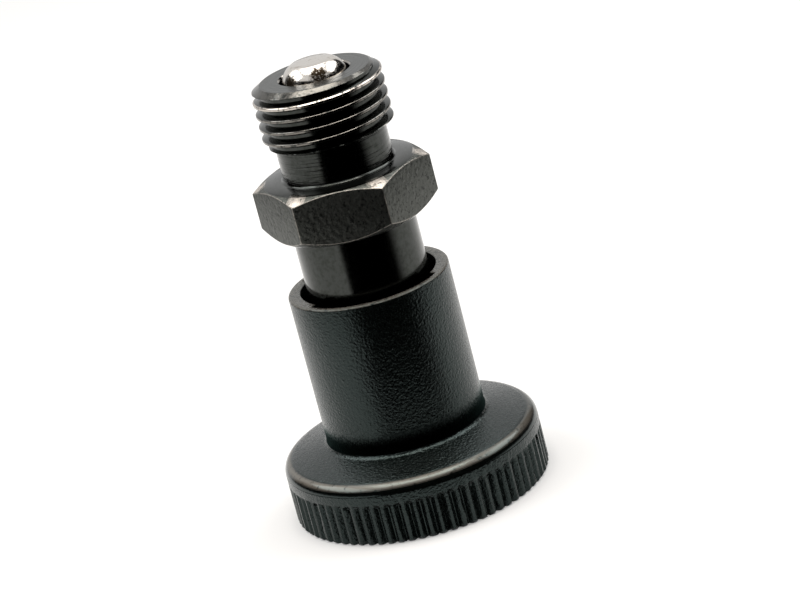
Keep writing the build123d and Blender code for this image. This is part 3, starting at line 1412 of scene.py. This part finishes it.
@dataclass
class Studio:
    """Floor, lamps, cards, world and camera."""

    floor_size: float = 3000.0
    floor_sides: int = 64
    floor_colour: Colour = (0.68, 0.68, 0.68)
    floor_rough: float = 0.9
    floor_glow: float = 0.17
    world_strength: float = 0.25
    world_shine: float = 0.80
    lamps: tuple[Lamp, ...] = (
        Lamp("left_softbox", azimuth=-102.0, elevation=46.0, distance=600.0, size=(560.0, 260.0), watts=1.6),
        Lamp("right_softbox", azimuth=105.0, elevation=46.0, distance=600.0, size=(560.0, 260.0), watts=1.6),
        Lamp("top_softbox", azimuth=0.0, elevation=90.0, distance=500.0, size=(420.0, 300.0), watts=2.4,
             colour=(1.0, 0.95, 0.89)),
        Lamp("back_softbox", azimuth=180.0, elevation=60.0, distance=700.0, size=(450.0, 220.0), watts=0.5),
    )
    cards: tuple[Card, ...] = (
        Card("front_card", start=-38.0, end=76.0, fade_in=8.0, fade_out=26.0,
             profile=((34.0, 0.4), (45.0, 0.4), (45.0, 56.0))),
        Card("wide_card", start=-138.0, end=153.0, fade_in=6.0, fade_out=6.0,
             profile=((302.0, 20.0), (302.0, 225.0))),
    )
    card_steps: int = 24
    camera_elevation: float = 18.350
    camera_azimuth: float = 6.93
    camera_roll: float = -14.816
    camera_target: tuple[float, float] = (364.629, 264.758)  # pixels across and down
    camera_distance: float = 390.0
    camera_clip: tuple[float, float] = (10.0, 20000.0)
    focal_pixels: float = 3222.763
    target_height: float = 30.0
    width: int = 800
    height: int = 600
    sensor: float = 36.0

    def point_camera(self) -> None:
        """Makes the scene's camera."""
        elevation, roll = radians(self.camera_elevation), radians(self.camera_roll)
        turn = Matrix.Rotation(radians(self.camera_azimuth), 3, "Z")
        back = turn @ Vector((0.0, -cos(elevation), sin(elevation)))
        right = turn @ Vector((1.0, 0.0, 0.0))
        up = turn @ Vector((0.0, sin(elevation), cos(elevation)))
        level = Matrix((cos(roll) * right + sin(roll) * up, -sin(roll) * right + cos(roll) * up, back))
        across = (self.camera_target[0] - self.width / 2) / self.focal_pixels
        down = (self.camera_target[1] - self.height / 2) / self.focal_pixels
        seen = Vector((across, -down, -1.0)).normalized()
        aim = Vector((0.0, 0.0, -1.0)).rotation_difference(seen).to_matrix()
        data = bpy.data.cameras.new("camera")
        data.sensor_width = self.sensor
        data.lens = self.focal_pixels / self.width * self.sensor
        data.clip_start, data.clip_end = (part * MM for part in self.camera_clip)
        camera = bpy.data.objects.new("camera", data)
        place = (Vector((0.0, 0.0, self.target_height)) + back * self.camera_distance) * MM
        camera.matrix_world = Matrix.Translation(place) @ (aim @ level).transposed().to_4x4()
        bpy.context.scene.collection.objects.link(camera)
        bpy.context.scene.camera = camera

    def hang_lamp(self, lamp: Lamp) -> None:
        """Hangs a lamp that faces the plunger.

        Args:
            lamp: the lamp.
        """
        angle = radians(lamp.azimuth + self.camera_azimuth)
        rise = radians(lamp.elevation)
        away = Vector((sin(angle) * cos(rise), -cos(angle) * cos(rise), sin(rise)))
        data = bpy.data.lights.new(lamp.name, "AREA")
        data.shape = "RECTANGLE"
        data.size, data.size_y = (part * MM for part in lamp.size)
        data.energy = lamp.watts
        data.color = lamp.colour
        made = bpy.data.objects.new(lamp.name, data)
        made.location = (Vector((0.0, 0.0, self.target_height)) + away * lamp.distance) * MM
        made.rotation_mode = "QUATERNION"
        made.rotation_quaternion = away.to_track_quat("Z", "Y")
        bpy.context.scene.collection.objects.link(made)

    def lay_floor(self) -> None:
        """Lays the pale floor."""
        bm = bmesh.new()
        radius = self.floor_size / 2 * MM
        bmesh.ops.create_circle(bm, cap_ends=True, segments=self.floor_sides, radius=radius)
        floor_piece = finish_mesh(bm, "studio_floor")
        material, build, shader = new_material("floor_paper", self.floor_colour)
        glow = build.maths("MULTIPLY", self.seen(build), self.floor_glow)
        build.feed(shader, Roughness=self.floor_rough, Specular_IOR_Level=0.0)
        build.feed(shader, Emission_Color=(*WHITE, 1.0), Emission_Strength=glow)
        floor_piece.data.materials.append(material)

    def hang_card(self, piece: Card) -> None:
        """Hangs a card that only reflections show.

        Args:
            piece: the card.
        """
        bm = bmesh.new()
        half = radians(piece.end - piece.start) / 2
        line = trace(bm, [polar(radius, -half, height) for radius, height in piece.profile])
        sweep(bm, line, 2 * half, self.card_steps)
        card = finish_mesh(bm, piece.name)
        card.rotation_euler.z = radians((piece.start + piece.end) / 2 + self.camera_azimuth - 90.0)
        material, build, shader = new_material(piece.name + "_black", BLACK)
        place = build.split(build.where())
        turn = build.maths("ARCTAN2", place["Y"], place["X"])
        fade_in = build.spread(turn, -half, radians(piece.fade_in) - half)
        fade_out = build.spread(turn, half - radians(piece.fade_out), half, 1.0, 0.0)
        build.feed(shader, Specular_IOR_Level=0.0, Alpha=build.maths("MULTIPLY", fade_in, fade_out))
        card.data.materials.append(material)
        card.visible_camera = False
        card.visible_diffuse = False
        card.visible_shadow = False

    @staticmethod
    def seen(build: Tree) -> Socket:
        """Whether a ray looks at the studio straight, in a reflection or through glass.

        Args:
            build: the tree that asks.

        Returns:
            1 for such a ray and 0 for one that gathers light.
        """
        path = build.node("ShaderNodeLightPath").outputs
        either = build.maths("MAXIMUM", path["Is Camera Ray"], path["Is Glossy Ray"])
        return build.maths("MAXIMUM", either, path["Is Transmission Ray"])

    def light_world(self) -> None:
        """Sets the plain soft light from all sides."""
        world = bpy.data.worlds.new("studio_world")
        world.use_nodes = True
        build = Tree(world.node_tree)
        strength = build.spread(self.seen(build), 0.0, 1.0, self.world_strength, self.world_shine)
        build.feed(world.node_tree.nodes["Background"], Color=(*WHITE, 1.0), Strength=strength)
        bpy.context.scene.world = world

    def build(self) -> None:
        """Sets up the whole studio."""
        bpy.context.scene.view_settings.view_transform = "Standard"
        self.lay_floor()
        self.light_world()
        for lamp in self.lamps:
            self.hang_lamp(lamp)
        for card in self.cards:
            self.hang_card(card)
        self.point_camera()


# ---- Everything -------------------------------------------------------------


def main() -> None:
    """Builds the plunger and its studio, class by class."""
    logging.basicConfig(level=logging.INFO, format="%(name)s %(message)s")
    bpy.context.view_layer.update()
    paint = Paintbox()
    spring = Spring()
    made = [
        (Guide().build(), "guide", "guide_body", Finish.BLACK_OXIDE),
        (Pin().build(), "plunger", "indexing_pin", Finish.BRIGHT_PIN),
        (coil := spring.build(), "spring", "return_spring", Finish.SPRING),
        (Knob().build(), "plunger", "knob", Finish.PLASTIC),
    ]
    for piece, body, node, finish in made:
        paint.dress(piece, finish)
        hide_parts(node)
        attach(piece, body)
        LOG.info("%s: %d faces, rides %s, stands for %s", piece.name, len(piece.data.polygons), body, node)
    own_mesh(coil)
    kept = {"rear_bush": Finish.PLAIN, "snap_ring": Finish.SPRING, "knob_insert": Finish.BRASS}
    for node, finish in kept.items():
        paint.dress(frame["nodes"][node], finish)
        LOG.info("%s: kept from the frame, %s", node, finish.value)
    Studio().build()


if __name__ == "__main__":
    main()
